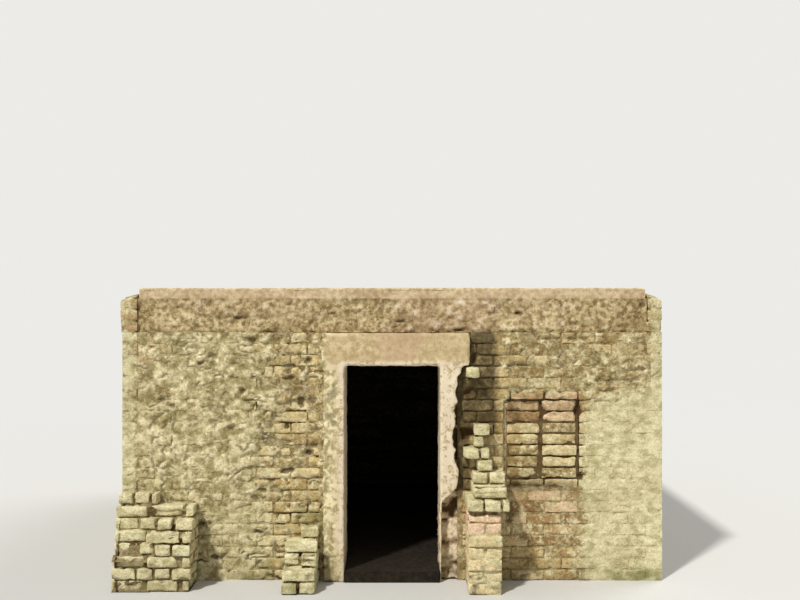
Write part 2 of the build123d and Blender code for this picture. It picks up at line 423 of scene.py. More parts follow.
# Hollows worn in the front, in millimetres: middle, half the width and height, and depth
FRONT_HOLLOWS = (
    (-1005, 1285, 24, 30, 30), (-1560, 1220, 34, 18, 26), (-1210, 1510, 34, 17, 24),
    (-1300, 1460, 30, 22, 30), (-1080, 1460, 55, 14, 24), (-1480, 1175, 24, 22, 26),
    (-620, 1205, 22, 34, 34), (-530, 1215, 34, 30, 28), (-705, 1035, 26, 22, 30),
    (-860, 950, 45, 18, 28), (-800, 1620, 50, 22, 26), (-950, 1620, 30, 20, 30),
    (-580, 1490, 45, 22, 32), (-680, 1450, 40, 16, 30), (-700, 1366, 36, 14, 28),
    (-720, 740, 45, 20, 34), (-560, 860, 28, 26, 36), (-1080, 1030, 36, 18, 24),
    (-1330, 1080, 40, 16, 22), (-1630, 1570, 36, 16, 24), (-920, 550, 45, 20, 30),
    (500, 990, 45, 40, 60), (510, 1270, 30, 34, 45), (550, 1500, 30, 34, 35),
    (1285, 700, 30, 32, 40), (1250, 1150, 22, 34, 36), (980, 630, 170, 16, 24),
    (775, 460, 20, 85, 28), (1020, 1150, 18, 45, 30), (1000, 860, 14, 120, 22),
    (1190, 1627, 175, 13, 22), (1430, 1347, 150, 13, 21), (1440, 1277, 140, 12, 21),
    (1390, 1207, 120, 12, 20), (900, 1450, 120, 12, 24), (1660, 1420, 50, 14, 20),
    (-1270, 385, 36, 18, 32), (-1330, 510, 18, 30, 30), (-895, 325, 42, 24, 34),
    (-760, 932, 90, 9, 20), (-885, 605, 36, 14, 28), (-745, 600, 16, 16, 30),
    (-500, 690, 42, 16, 30), (-515, 915, 26, 20, 28), (-505, 390, 24, 22, 30),
)
MILLIMETRES = 1000


def marked(marks, u, v, ragged, low):
    """How deep places of a face are in any of a table's marks, which have ragged edges."""
    depth = np.zeros_like(u)
    for middle_u, middle_v, half_width, half_height, deep in np.array(marks) / MILLIMETRES:
        away = np.hypot((u - middle_u) / half_width, (v - middle_v) / half_height)
        depth = np.maximum(depth, deep * step_up(away + ragged, 1.5, low))
    return depth


def hollow_depth(u, v, side):
    """How far places of a wall face are worn away in hollows."""
    at = wall_points(u, v, side)
    kind = zones(u, v, side)
    lumps = noise(at, 0.07, seed=31) - 0.95 + weigh(kind, rough=0.20, wash=-0.20)
    depth = np.maximum(0.026 * step_up(lumps, 0.0, 0.40), 0.013 * strokes(u, v, side, kind))
    if side == "front":
        ragged = 0.80 * noise(at, 0.045, seed=32)
        depth = np.maximum(depth, marked(FRONT_HOLLOWS, u, v, ragged, 0.40))
    return depth


# The bond
def courses_of(shifted_first, courses, bats=False):
    """Every brick of a wall of full length: its two ends along u, and its course."""
    bricks = []
    for level in courses:
        if (level % 2 == 1) == shifted_first:
            ends = [i * PITCH for i in range(PLAN_BRICKS + 1)]
        else:
            ends = [HEADER + i * PITCH for i in range(PLAN_BRICKS)]
            if bats:
                ends = [0, *ends, 2 * HALF]
        bricks += [(start - HALF, end - HALF, level) for start, end in zip(ends, ends[1:])]
    return bricks


def clip_bricks(bricks, openings):
    """The bricks cut back to what lies outside the openings, each a span of u and of courses."""
    kept = []
    for start, end, level in bricks:
        spans = [(start, end)]
        for low, high, first, last in openings:
            if first <= level <= last:
                spans = [cut for a, b in spans for cut in ((a, min(b, low)), (max(a, high), b))]
        kept += [(a, b, level) for a, b in spans if b - a > SMALLEST_BAT]
    return kept


FINE = block_net(
    np.array([0, 0.03, *np.linspace(0.08, 0.92, 12), 0.97, 1]),
    np.array([0, 0.10, 0.30, 0.50, 0.70, 0.90, 1]),
    np.array([0, 0.05, 0.16, 1]),
)
PLAIN = block_net(
    np.array([0, 0.035, *np.linspace(0.14, 0.86, 6), 0.965, 1]),
    np.array([0, 0.12, 0.5, 0.88, 1]),
    np.array([0, 0.09, 1]),
)
THICK = block_net(
    np.array([0, 0.05, *np.linspace(0.2, 0.8, 5), 0.95, 1]),
    np.array([0, 0.12, 0.35, 0.65, 0.88, 1]),
    np.array([0, 0.06, 0.2, 0.4, 0.6, 0.8, 0.94, 1]),
)
END_JIGGLE = (0.0015, 0.0012, 0.0)
TILT = (0.0044, 0.0036)
SLOPE = 0.0028
LEAST_DEPTH = 0.0005


def worn_bricks(masonry, face, boxes, wear, net, seed, own_fields=None):
    """Adds bricks, each a box from its low to its high u, v and depth, rounded and pitted by its wear.

    own_fields names weathering that is given for each brick and not by its place.
    """
    random = np.random.default_rng(seed)
    count = len(boxes)
    low = boxes[:, :3] + random.uniform(-1, 1, (count, 3)) * END_JIGGLE
    high = boxes[:, 3:] + random.uniform(-1, 1, (count, 3)) * END_JIGGLE
    low, high = low[:, None], high[:, None]
    rough = wear[:, None, None]
    radius = 0.0035 + 0.011 * rough * random.uniform(0.5, 1.4, count)[:, None, None]
    radius = np.minimum(radius, 0.45 * (high - low).min(axis=2, keepdims=True))
    points = low + net[0] * (high - low)
    points, outward = rounded(points, low + radius, high - radius, radius)

    sample = (points + np.arange(count)[:, None, None] * 3.71).reshape(-1, 3)
    lumps = noise(sample, 0.045, seed=seed + 1).reshape(count, -1, 1)
    grains = noise(sample, 0.016, seed=seed + 2, octaves=2).reshape(count, -1, 1)
    bites = step_up(noise(sample, 0.07, seed=seed + 3, octaves=2), 0.25, 0.9).reshape(count, -1, 1)
    loss = lumps * (0.0015 + 0.0038 * rough) + grains * (0.0008 + 0.0014 * rough)
    points = points - outward * (loss + bites * (0.002 + 0.013 * rough * rough))

    middle = net[0] - 0.5
    tilt = random.normal(0, 1, (count, 2)) * TILT
    points[..., 2] += tilt[:, :1] * middle[:, 0] + tilt[:, 1:] * middle[:, 1]
    points[..., 1] += random.normal(0, SLOPE, count)[:, None] * middle[:, 0]
    points[..., 2] = np.maximum(points[..., 2], LEAST_DEPTH)
    # Painted light and shade of the relief: paler where a lump stands out, darker in its dips.
    crest = 0.5 - 0.5 * lumps[..., 0]
    sunk = 0 * crest
    if face.side != "stub":
        u, v = points.reshape(-1, 3)[:, :2].T
        shared = lumps_of(u, v, face.side).reshape(count, -1)
        worn = hollow_depth(u, v, face.side).reshape(count, -1) - 0.0025 * shared
        points[..., 2] = np.maximum(points[..., 2] + worn * (1 - net[0][:, 2]), LEAST_DEPTH)
        # Painted light and shade of the relief: paler where a lump stands out, darker in its dips.
        crest = 0.5 + 0.3 * shared - 0.2 * lumps[..., 0]
        sunk = np.minimum(points[..., 2], HALF - np.abs(points[..., 0]))
    placed = face.place(points)
    placed[..., 2] = np.maximum(placed[..., 2], 0)
    fields = weather(placed.reshape(-1, 3), face.side)
    fields = {name: value.reshape(count, -1) for name, value in fields.items()}
    fields["tone"] = random.uniform(0, 1, (count, 1))
    fields.update({name: value[:, None] for name, value in (own_fields or {}).items()})
    # Painted shade: the deeper a brick's face lies behind the wall face, the darker it is coloured.
    hollow = np.clip((sunk - 0.018) / 0.055, 0, 1)
    masonry.add(placed, net, 0, hollow=hollow, crest=crest, **fields)


MORTAR_LAYERS = np.array([0, 0.35, 1])


def mortar_body(masonry, face, span, height, thickness, grid, seed, cut=None):
    """Adds the mortar behind the bricks of a wall as a closed body, cut back to its rear in an opening."""
    wide, high = span[1] - span[0], height[1] - height[0]
    columns, rows = (np.linspace(0, 1, round(length / grid) + 1) for length in (wide, high))
    net = block_net(columns, rows, MORTAR_LAYERS)
    u = span[0] + net[0][:, 0] * wide
    v = height[0] + net[0][:, 1] * high
    depth = joint_depth(u, v, face.side, seed)
    depth = np.maximum(depth, hollow_depth(u, v, face.side) * 1.12)
    if cut is not None:
        inside = (u > cut[0].x) & (u < cut[1].x) & (v > cut[0].z) & (v < cut[1].z)
        depth = np.where(inside, thickness - 0.004, depth)
    points = np.stack([u, v, depth + (thickness - depth) * net[0][:, 2]], axis=1)
    placed = face.place(points)
    raked = zones(u, v, face.side)["patch"] * (face.side == "front")
    fields = weather(placed, face.side)
    fields["wash"] *= 1 - raked
    # Painted shade: the deeper the mortar lies, the darker it is coloured, and more so in raked joints.
    fields["hollow"] = np.clip((depth - 0.012) / 0.040 + 0.35 * raked, 0, 1)
    # Painted light and shade of the relief: paler on the lumps, darker in the dips.
    fields["crest"] = 0.5 + 0.5 * lumps_of(u, v, face.side)
    masonry.add(placed[None], net, 1, tone=0.5, **fields)


def brick_boxes(bricks, recess):
    """The box of each brick: low u, v, depth and high u, v, depth, its ends at a corner held back too."""
    start, end, level = np.array(bricks).T
    start = np.maximum(start + JOINT / 2, -HALF + FACE_REST)
    end = np.minimum(end - JOINT / 2, HALF - FACE_REST)
    foot, top = level * COURSE + JOINT / 2, (level + 1) * COURSE - JOINT / 2
    return np.stack([start, foot, recess, end, top, np.full(len(bricks), LEAF)], axis=1)


FINE_LAY = (FINE, 0.008)
PLAIN_LAY = (PLAIN, 0.021)
END_BODY = 0.06  # thickness of the mortar in the end of a side wall


def wall_piece(
    node, face, bricks, span, lay, seed, height=(0, WALL_TOP), cut=None, slot="weathered_brick", end=None
):
    """A half-brick leaf: its bricks, and the mortar behind them over one span of u.

    lay is the net of a brick and the grid of the mortar. end is the span on the front that a side
    wall's end takes up, and the seed of the mortar beside it.
    """
    masonry = Masonry()
    net, grid = lay
    random = np.random.default_rng(seed)
    middles = np.array([((a + b) / 2, (level + 0.5) * COURSE) for a, b, level in bricks])
    wear = erosion(*middles.T, face.side) + random.normal(0, 0.12, len(bricks))
    wear = np.clip(wear, 0.03, 1)
    recess = FACE_REST + 0.014 * wear**2 * random.uniform(0.1, 1.3, len(bricks))
    worn_bricks(masonry, face, brick_boxes(bricks, recess), wear, net, seed)
    mortar_body(masonry, face, span, height, LEAF, grid, seed, cut)
    if end is not None:
        mortar_body(masonry, FRONT, end[0], height, END_BODY, FINE_LAY[1], end[1])
    place_piece(masonry.mesh(f"{node}_masonry"), [node], slot, BRICK, MORTAR)


# Materials, with colours given as they show on a screen, from 0 to 255
LICHEN_OLIVE = (160, 148, 101)
LICHEN_GREY = (206, 194, 150)
LICHEN_CREAM = (242, 229, 187)
LIMEWASH = (236, 227, 185)
LIMEWASH_DULL = (190, 182, 135)
PALE_WASH = (232, 216, 188)
RUST = (196, 160, 132)
# Dark brown, for dirt and for painted shade in grooves, pockets, cracks and low places
DIRT_AND_SHADE_BROWN = (72, 61, 36)
MOSS = (118, 116, 58)
# Painted shade for deep joints, worn places, pits and cracks
PAINTED_SHADE_BROWN = (84, 63, 34)
DUST = (168, 150, 112)
HAZE = (214, 206, 190)
WHITE = (255, 255, 255)
SPECULAR = 0.25


def display(red, green, blue):
    """A colour in the linear values that nodes use."""
    return tuple(((c / 255 + 0.055) / 1.055) ** 2.4 if c > 10 else c / 3294 for c in (red, green, blue)) + (1,)


class Nodes:
    """A node tree whose nodes are added one by one."""

    def __init__(self, tree):
        self.tree = tree
        self.tree.nodes.clear()

    def node(self, kind, inputs=None, **settings):
        """A new node; inputs maps its sockets to values or to other nodes' outputs."""
        made = self.tree.nodes.new(kind)
        for name, value in settings.items():
            setattr(made, name, value)
        for key, value in (inputs or {}).items():
            if isinstance(value, bpy.types.NodeSocket):
                self.tree.links.new(value, made.inputs[key])
            else:
                made.inputs[key].default_value = value
        return made

    def sums(self, operation, first, second, third=0.0):
        """Arithmetic on numbers."""
        return self.node("ShaderNodeMath", {0: first, 1: second, 2: third}, operation=operation).outputs[0]

    def shows_backdrop(self):
        """1 on the rays that see the backdrop itself and not its light."""
        path = self.node("ShaderNodeLightPath").outputs
        seen = self.sums("MAXIMUM", path["Is Camera Ray"], path["Is Glossy Ray"])
        return self.sums("MAXIMUM", seen, path["Is Transmission Ray"])


class Shader(Nodes):
    """A material's nodes."""

    def __init__(self, name, roughness=0.9):
        self.material = bpy.data.materials.new(name)
        self.material.use_nodes = True
        super().__init__(self.material.node_tree)
        plain = {"Roughness": roughness, "Specular IOR Level": SPECULAR}
        self.surface = self.node("ShaderNodeBsdfPrincipled", plain)
        self.output = self.node("ShaderNodeOutputMaterial", {"Surface": self.surface.outputs["BSDF"]})
        self.here = self.node("ShaderNodeTexCoord").outputs["Object"]

    def grain(self, size, detail=3.0, roughness=0.6, stretch=(1, 1, 1), shift=0.0):
        """Noise from 0 to 1 with lumps of about size metres, stretched along the axes."""
        place = {"Vector": self.here, "Scale": stretch, "Location": (shift,) * 3}
        place = self.node("ShaderNodeMapping", place).outputs[0]
        inputs = {"Vector": place, "Scale": 0.5 / size, "Detail": detail, "Roughness": roughness}
        return self.node("ShaderNodeTexNoise", inputs).outputs[0]

    def cells(self, size, shift=0.0):
        """Distance to the nearest of many scattered points, size metres apart."""
        place = self.node("ShaderNodeMapping", {"Vector": self.here, "Location": (shift,) * 3}).outputs[0]
        return self.node("ShaderNodeTexVoronoi", {"Vector": place, "Scale": 1 / size}).outputs[0]

    def field(self, name):
        """A number stored on the mesh."""
        return self.node("ShaderNodeAttribute", attribute_name=name).outputs["Fac"]

    def times(self, first, second, added=0.0):
        """The product of two numbers, and a third added."""
        return self.sums("MULTIPLY_ADD", first, second, added)

    def total(self, *parts):
        """Numbers added up by weight, each part a number and its weight."""
        value = 0.0
        for part, weight in parts:
            value = self.times(part, weight, value)
        return value

    def between(self, value, low, high):
        """0 where the value is below low, 1 above high, smooth between."""
        inputs = {"Value": value, "From Min": low, "From Max": high}
        return self.node("ShaderNodeMapRange", inputs, interpolation_type="SMOOTHSTEP").outputs[0]

    def ramp(self, value, *stops):
        """Colours along a value, each stop a place and a colour."""
        made = self.node("ShaderNodeValToRGB", {0: value})
        elements = made.color_ramp.elements
        while len(elements) < len(stops):
            elements.new(0.5)
        for element, (place, colour) in zip(elements, stops):
            element.position = place
            element.color = display(*colour)
        return made.outputs[0]

    def mix(self, share, first, second, blend="MIX"):
        """Two colours mixed by a share."""
        first, second = (display(*c) if isinstance(c, tuple) else c for c in (first, second))
        inputs = {0: share, 6: first, 7: second}
        return self.node("ShaderNodeMix", inputs, data_type="RGBA", blend_type=blend).outputs[2]

    def stain(self, colour, tint, field, grain, weight, low, high, most=1.0):
        """The colour under a tint, which spreads as a field and a weighted grain rise to high."""
        cover = self.between(self.times(grain, weight, self.field(field)), low, high)
        return self.mix(self.times(cover, most), colour, tint)

    def shaded(self, colour, share, grain, low, high, dark=DUST):
        """The colour multiplied by a dark tint where a grain is low."""
        return self.mix(share, colour, self.ramp(grain, (low, dark), (high, WHITE)), "MULTIPLY")

    def lichen(self, value, low, middle, high):
        """Lichen's colours along a value."""
        return self.ramp(value, (low, LICHEN_OLIVE), (middle, LICHEN_GREY), (high, LICHEN_CREAM))

    def finish(self, colour, height, distance, strength):
        """Joins the colour and the bump to the surface."""
        bump = self.node("ShaderNodeBump", {"Strength": strength, "Distance": distance, "Height": height})
        self.tree.links.new(colour, self.surface.inputs["Base Color"])
        self.tree.links.new(bump.outputs[0], self.surface.inputs["Normal"])
        return self.material


def weathered(shader, colour, clear):
    """Lichen, limewash, dirt with painted shade, and moss over a masonry colour; lichen paler on raised lumps as
    painted light, and painted shade where it lies deep beyond clear.
    """
    blotch = shader.grain(0.018, detail=5, roughness=0.62)
    speck = shader.grain(0.006, detail=3, shift=4.0)
    spread = shader.grain(0.05, detail=4, shift=9.0)
    wide = shader.grain(0.16, detail=3, shift=14.0)
    blur = shader.grain(0.013, detail=3, shift=21.0)
    streak = shader.grain(0.022, detail=5, stretch=(0.62, 0.62, 1), shift=17.0)
    limed = shader.field("wash")
    amount = shader.total((spread, 0.58), (blotch, 0.50), (speck, 0.14), (shader.field("lichen"), 0.50))
    # Painted light and shade: the lichen is paler on raised lumps and darker in dips.
    patches = shader.total((shader.field("crest"), 0.25), (spread, 0.20), (blotch, 0.55))
    colour = shader.mix(shader.between(amount, 0.72, 0.96), colour, shader.lichen(patches, 0.40, 0.50, 0.60))
    wash = shader.between(shader.total((blotch, 1.0), (speck, 0.22), (limed, 0.60)), 0.76, 1.06)
    lime = shader.ramp(streak, (0.38, LIMEWASH_DULL), (0.56, LIMEWASH))
    colour = shader.mix(shader.times(wash, 0.9), colour, lime)
    colour = shader.shaded(colour, 0.35, speck, 0.34, 0.54)
    colour = shader.shaded(colour, shader.times(limed, -0.35, 0.45), blur, 0.40, 0.54)
    colour = shader.shaded(colour, 0.5, wide, 0.34, 0.60, HAZE)
    # Dirt, and painted shade in grooves, pockets and low places.
    colour = shader.stain(colour, DIRT_AND_SHADE_BROWN, "grime", blotch, 0.9, 0.62, 1.50)
    colour = shader.stain(colour, MOSS, "moss", spread, 1.0, 0.75, 1.35, most=0.8)
    # Painted shade where the surface lies deep beyond clear.
    return shader.stain(colour, PAINTED_SHADE_BROWN, "hollow", blotch, 0.4, clear, clear + 0.8)


def brick_material():
    """Old common brick under lichen and limewash."""
    shader = Shader("weathered_brick")
    tone = shader.total((shader.field("tone"), 0.6), (shader.grain(0.05, shift=2.0), 0.7))
    ochre = shader.ramp(tone, (0.35, (144, 120, 76)), (0.62, (186, 162, 112)), (0.90, (218, 196, 148)))
    gold = shader.ramp(tone, (0.35, (166, 136, 82)), (0.62, (212, 186, 128)), (0.92, (244, 224, 172)))
    red = shader.ramp(tone, (0.35, (142, 102, 68)), (0.62, (190, 149, 105)), (0.96, (252, 220, 190)))
    colour = shader.mix(shader.field("warm"), ochre, gold)
    colour = shader.mix(shader.field("red"), colour, red)
    colour = weathered(shader, colour, clear=0.30)
    pits = shader.between(shader.cells(0.018), 0.10, 0.42)
    height = shader.times(shader.grain(0.004, detail=4), 0.5, pits)
    return shader.finish(colour, height, distance=0.004, strength=0.8)


def mortar_material():
    """Old lime mortar, crumbling, with painted shade where it lies deep."""
    shader = Shader("old_mortar")
    grains = shader.grain(0.006, detail=4)
    lumps = shader.grain(0.02, detail=3, shift=3.0)
    value = shader.total((lumps, 0.5), (grains, 0.5))
    colour = shader.ramp(value, (0.36, (120, 102, 66)), (0.50, (164, 145, 102)), (0.64, (204, 186, 142)))
    colour = weathered(shader, colour, clear=0.22)
    return shader.finish(colour, shader.sums("ADD", grains, lumps), distance=0.005, strength=0.9)


def concrete_material(name, dark, mid, light, stones, boards=0.0, uneven=0.3):
    """Cast concrete: blotches, pits, stones where it has worn, and the marks of boards along it."""
    shader = Shader(name, roughness=0.92)
    blotch = shader.grain(0.016, detail=4, roughness=0.58)
    speck = shader.grain(0.006, detail=4, shift=5.0)
    wide = shader.grain(0.07, detail=3, shift=12.0)
    streak = shader.grain(0.05, detail=3, stretch=(0.12, 0.12, 1.6), shift=6.0)
    broad = shader.grain(0.15, detail=3, shift=19.0)
    value = shader.total((wide, 0.20), (blotch, 0.60), (speck, 0.20))
    colour = shader.ramp(value, (0.42, dark), (0.50, mid), (0.58, light))
    pebble = shader.between(shader.cells(0.024, shift=1.5), 0.34, 0.22)
    worn = shader.between(shader.grain(0.12, shift=7.0), 0.45, 0.62)
    shown = shader.times(shader.times(pebble, worn), stones)
    colour = shader.mix(shown, colour, light)
    colour = shader.mix(shader.times(shader.between(streak, 0.60, 0.40), boards), colour, dark)
    colour = shader.mix(shader.times(shader.field("red"), 0.6), colour, RUST)
    colour = shader.mix(shader.field("lichen"), colour, shader.lichen(blotch, 0.42, 0.50, 0.58))
    cover = shader.between(shader.total((blotch, 0.65), (speck, 0.35)), 0.38, 0.53)
    colour = shader.mix(shader.times(shader.field("wash"), cover), colour, PALE_WASH)
    colour = shader.shaded(colour, 0.35 * uneven, broad, 0.36, 0.58)
    # Dirt, and painted shade in sunk places, low places between pebbles and cracks.
    colour = shader.stain(colour, DIRT_AND_SHADE_BROWN, "grime", blotch, 0.9, 0.62, 1.50)
    colour = shader.stain(colour, MOSS, "moss", blotch, 0.7, 0.62, 1.25)
    # Painted shade in pits, marks, worn places and cracks.
    colour = shader.stain(colour, PAINTED_SHADE_BROWN, "hollow", speck, 0.3, 0.30, 1.10)
    height = shader.total((shown, 0.5), (speck, 0.6), (shader.between(streak, 0.62, 0.44), -0.4 * boards))
    return shader.finish(colour, height, distance=0.005, strength=0.7)


BRICK = brick_material()
MORTAR = mortar_material()
CONCRETE = {
    name: concrete_material(name, *looks)
    for name, *looks in (
        ("surround_concrete", (180, 157, 115), (203, 180, 137), (219, 199, 157), 0.2, 0.35),
        ("roof_concrete", (132, 111, 72), (180, 158, 114), (220, 201, 158), 0.3, 0.3, 1.0),
        ("roof_screed", (172, 152, 114), (198, 178, 139), (218, 201, 163), 0.4, 0.0, 0.6),
        # The inner walls and the floor are near black, as painted shade of the unlit room.
        ("core_concrete", (48, 44, 36), (72, 67, 55), (96, 90, 74), 0.3, 1.0),
        ("floor_concrete", (22, 17, 10), (32, 25, 15), (46, 36, 22), 0.2),
    )
}

# Brick walls
LAST = WALL_COURSES - 1
HOLE_FIRST = round(HOLE_LOW.z / COURSE)
HOLE_LAST = round(HOLE_HIGH.z / COURSE) - 1
OPENINGS = (
    (-JAMB_OUTER, JAMB_OUTER, 0, LAST),
    (LINTEL_LEFT, LINTEL_RIGHT, round(DOOR_TOP / COURSE), LAST),
    (HOLE_LOW.x, HOLE_HIGH.x, HOLE_FIRST, HOLE_LAST),
)
UNDER_JAMB = 0.03  # how far the front's mortar runs on behind a jamb

front_bricks = clip_bricks(courses_of(True, range(WALL_COURSES)), OPENINGS)
left_half = [brick for brick in front_bricks if brick[1] < 0]
right_half = [brick for brick in front_bricks if brick[0] > 0]
left_span = (-HALF + LEAF, UNDER_JAMB - JAMB_OUTER)
right_span = (JAMB_OUTER - UNDER_JAMB, HALF - LEAF)
wall_piece("front_leaf_left", FRONT, left_half, left_span, FINE_LAY, seed=31)
wall_piece("front_leaf_right", FRONT, right_half, right_span, FINE_LAY, seed=41, cut=(HOLE_LOW, HOLE_HIGH))

side_bricks = courses_of(False, range(WALL_COURSES))
side_span = (-HALF + 2 * FACE_REST, HALF - 2 * FACE_REST)
left_end = ((-HALF + FACE_REST, -HALF + LEAF), 31)
right_end = ((HALF - LEAF, HALF - FACE_REST), 41)
wall_piece("left_leaf", LEFT, side_bricks, side_span, PLAIN_LAY, seed=51, end=left_end)
wall_piece("right_leaf", RIGHT, side_bricks, side_span, PLAIN_LAY, seed=61, end=right_end)
rear_bricks = courses_of(True, range(WALL_COURSES))
wall_piece("rear_leaf", REAR, rear_bricks, (-HALF + LEAF, HALF - LEAF), PLAIN_LAY, seed=71)

# Bricked-up loophole, stack bonded, two bricks to the course
hole_middle = (HOLE_LOW.x + HOLE_HIGH.x) / 2
hole_ends = ((HOLE_LOW.x + JOINT, hole_middle - JOINT / 2), (hole_middle + JOINT / 2, HOLE_HIGH.x - JOINT))
shifts = np.random.default_rng(83).uniform(-0.004, 0.007, (HOLE_LAST + 1, 2, 2))
infill_bricks = [
    (a + shifts[level, half, 0], b - shifts[level, half, 1], level)
    for level in range(HOLE_FIRST, HOLE_LAST + 1)
    for half, (a, b) in enumerate(hole_ends)
]
wall_piece(
    "loophole_infill", Face("front", (0, HOLE_LOW.y, 0), (1, 0, 0), (0, 0, 1)), infill_bricks,
    (HOLE_LOW.x, HOLE_HIGH.x), FINE_LAY, seed=81, height=(HOLE_LOW.z, HOLE_HIGH.z), slot="broken_brick",
)


# Worn pieces made from the CAD solids themselves
def solid_of(node):
    """The points and faces of a CAD node."""
    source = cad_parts[node].data
    return [vertex.co[:] for vertex in source.vertices], [tuple(face.vertices) for face in source.polygons]


def divided(name, nodes, voxel):
    """The CAD nodes' solids as one evenly divided closed mesh."""
    points, faces = [], []
    for node in nodes:
        own_points, own_faces = solid_of(node)
        faces += [[len(points) + i for i in corners] for corners in own_faces]
        points += own_points
    whole = bpy.data.meshes.new("whole")
    whole.from_pydata(points, [], faces)
    copy = bpy.data.objects.new("whole", whole)
    bpy.context.scene.collection.objects.link(copy)
    remesh = copy.modifiers.new("divide", "REMESH")
    remesh.mode = "VOXEL"
    remesh.voxel_size = voxel
    graph = bpy.context.evaluated_depsgraph_get()
    mesh = bpy.data.meshes.new_from_object(copy.evaluated_get(graph))
    bpy.data.objects.remove(copy)
    mesh.name = name
    return mesh


def relaxed(mesh, points, rounds):
    """The points after each has moved a few times to the middle of its neighbours."""
    edges = np.empty(len(mesh.edges) * 2, np.int32)
    mesh.edges.foreach_get("vertices", edges)
    a, b = edges.reshape(-1, 2).T
    ends = np.concatenate([a, b])
    others = np.concatenate([b, a])
    share = np.bincount(ends, minlength=len(points))
    for _ in range(rounds):
        sums = [np.bincount(ends, points[others, axis], len(points)) for axis in range(3)]
        points = np.stack(sums, axis=1) / share[:, None]
    return points


def move_points(mesh, points):
    """Puts the mesh's points at new places."""
    mesh.vertices.foreach_set("co", points.astype(np.float32).ravel())
    mesh.update()


# Cast surround of the doorway
SURROUND_NODES = ["door_lintel", "left_jamb", "right_jamb"]
SURROUND_VOXEL = 0.011
SURROUND_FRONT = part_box("door_lintel")[0].y
DOOR_HALF = -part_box("left_jamb")[1].x
BREAK_X = 0.425
BREAK_Z = 0.50


def spall(worn, points):
    """Eats into the right jamb's outer edge and the brink of its break; how far at the edge."""
    x, y, z = worn.T
    edge = step_up(x, 0.37, JAMB_OUTER) * band(z, 0.78, 1.36, 0.05) * step_up(y, -HALF + 0.06, -HALF)
    eaten = edge * np.clip(0.020 + 0.030 * noise(points, 0.055, seed=96), 0, 0.045)
    x -= eaten
    brink = band(z, 0.58, 0.72, 0.07) * step_up(y, -HALF, SURROUND_FRONT + 0.03) * step_up(x, 0.30, 0.36)
    z += 0.036 * brink * noise(points * (1, 0, 1), 0.045, seed=97, octaves=2)
    return eaten


def surround():
    """The lintel and jambs as one casting, its arrises chipped and its right face spalled away."""
    mesh = divided("surround_cast", SURROUND_NODES, SURROUND_VOXEL)
    points = vectors_of(mesh.vertices, "co")
    outward = vectors_of(mesh.vertex_normals, "vector")
    x, y, z = points.T
    soft = relaxed(mesh, points, 2)
    arris = np.clip(np.linalg.norm(soft - points, axis=1) / SURROUND_VOXEL, 0, 1)
    chips = step_up(noise(points, 0.09, seed=102), 0.1, 0.8)
    broken = step_up(x, DOOR_HALF, DOOR_HALF + 0.02) * step_up(z, DOOR_TOP, DOOR_TOP - 0.02)
    broken *= step_up(y, SURROUND_FRONT + 0.02, SURROUND_FRONT + 0.04) * step_up(y, -HALF + 0.1, -HALF)
    rubble = noise(points, 0.036, seed=93) - step_up(np.hypot(x - BREAK_X, z - BREAK_Z), 0.06, 0.02)
    ragged = x + 0.03 * noise(points, 0.10, seed=98)
    by_jamb, by_lintel = step_up(ragged, -0.355, -0.400), step_up(ragged, -0.405, -0.465)
    blended = np.where(z < DOOR_TOP - 0.02, by_jamb, by_lintel)
    lumpy = noise(points * (0.7, 1, 1), 0.034, seed=99, octaves=2)
    loss = 0.0010 + 0.0034 * (1 + noise(points, 0.07, seed=101)) + 0.020 * arris * chips
    loss += broken * (0.018 - 0.022 * rubble) + blended * (0.006 - 0.007 * lumpy)
    worn = soft - outward * loss[:, None]
    eaten = spall(worn, points)
    low, high = zip(*(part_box(node) for node in SURROUND_NODES))
    worn = np.clip(worn, np.min(low, axis=0), np.max(high, axis=0))
    move_points(mesh, worn)

    x, _, z = worn.T
    patchy = noise(worn, 0.20, seed=91)
    drips = step_up(noise(worn * (1, 1, 0.2), 0.06, seed=92), 0.3, 0.9)
    foot = step_up(z + 0.1 * patchy, 0.40, 0.02)
    over = step_up(z, DOOR_TOP, DOOR_TOP + 0.05)
    pale = (step_up(x, 0.25, 0.32) + step_up(x, -0.365, -0.335) * step_up(x, -0.30, -0.315)) * (1 - over)
    door_head = band(z + 0.01 * patchy, DOOR_TOP - 0.01, DOOR_TOP + 0.026, 0.014)
    pale += door_head * step_up(np.abs(x), 0.36, 0.32)
    # Painted light: the rubble that stands out on the broken face is paler.
    proud = broken * step_up(rubble, -0.5, 0.8)
    low_down = step_up(z, 0.50, 0.40)
    blush = over * band(x + 0.14 * patchy, -0.02, 0.07, 0.14)
    # Painted shade in the dips of the lumps where the jamb blends into the wall.
    sunk = blended * step_up(lumpy, 0.1, -0.7)
    # Painted shade in the sunk parts of the broken face, less of it low down.
    hidden = (broken - proud) * (1 - 0.6 * low_down)
    # Painted shade in the low places of the rubble and high on the break, and on the spalled face that turns
    # away from the sun.
    pocket = broken * (0.95 * step_up(rubble, 0.3, -0.9) * (1 - 0.65 * low_down) + 0.25 * step_up(z, 0.60, 0.75))
    pocket += step_up(outward[:, 0], 0.5, 0.8) * step_up(eaten, 0.0, 0.004)
    # Painted shade also darkens the casting the deeper it is worn away.
    put_fields(mesh, clipped({
        "lichen": 0.75 * blended,
        "wash": 0.8 * pale * (1 - broken) + 0.45 * (1 - over) * (1 - blended) + 0.5 * proud,
        "red": 0.65 * blush + broken * (1 - 0.5 * low_down),
        "grime": 0.35 * foot + 0.20 * drips + 0.50 * hidden + 0.60 * sunk,
        "moss": 0.7 * foot * step_up(patchy, -0.3, 0.5),
        "hollow": loss / 0.05 - 0.15 + pocket,
    }))
    place_piece(mesh, SURROUND_NODES, "surround_concrete", CONCRETE["surround_concrete"])


surround()

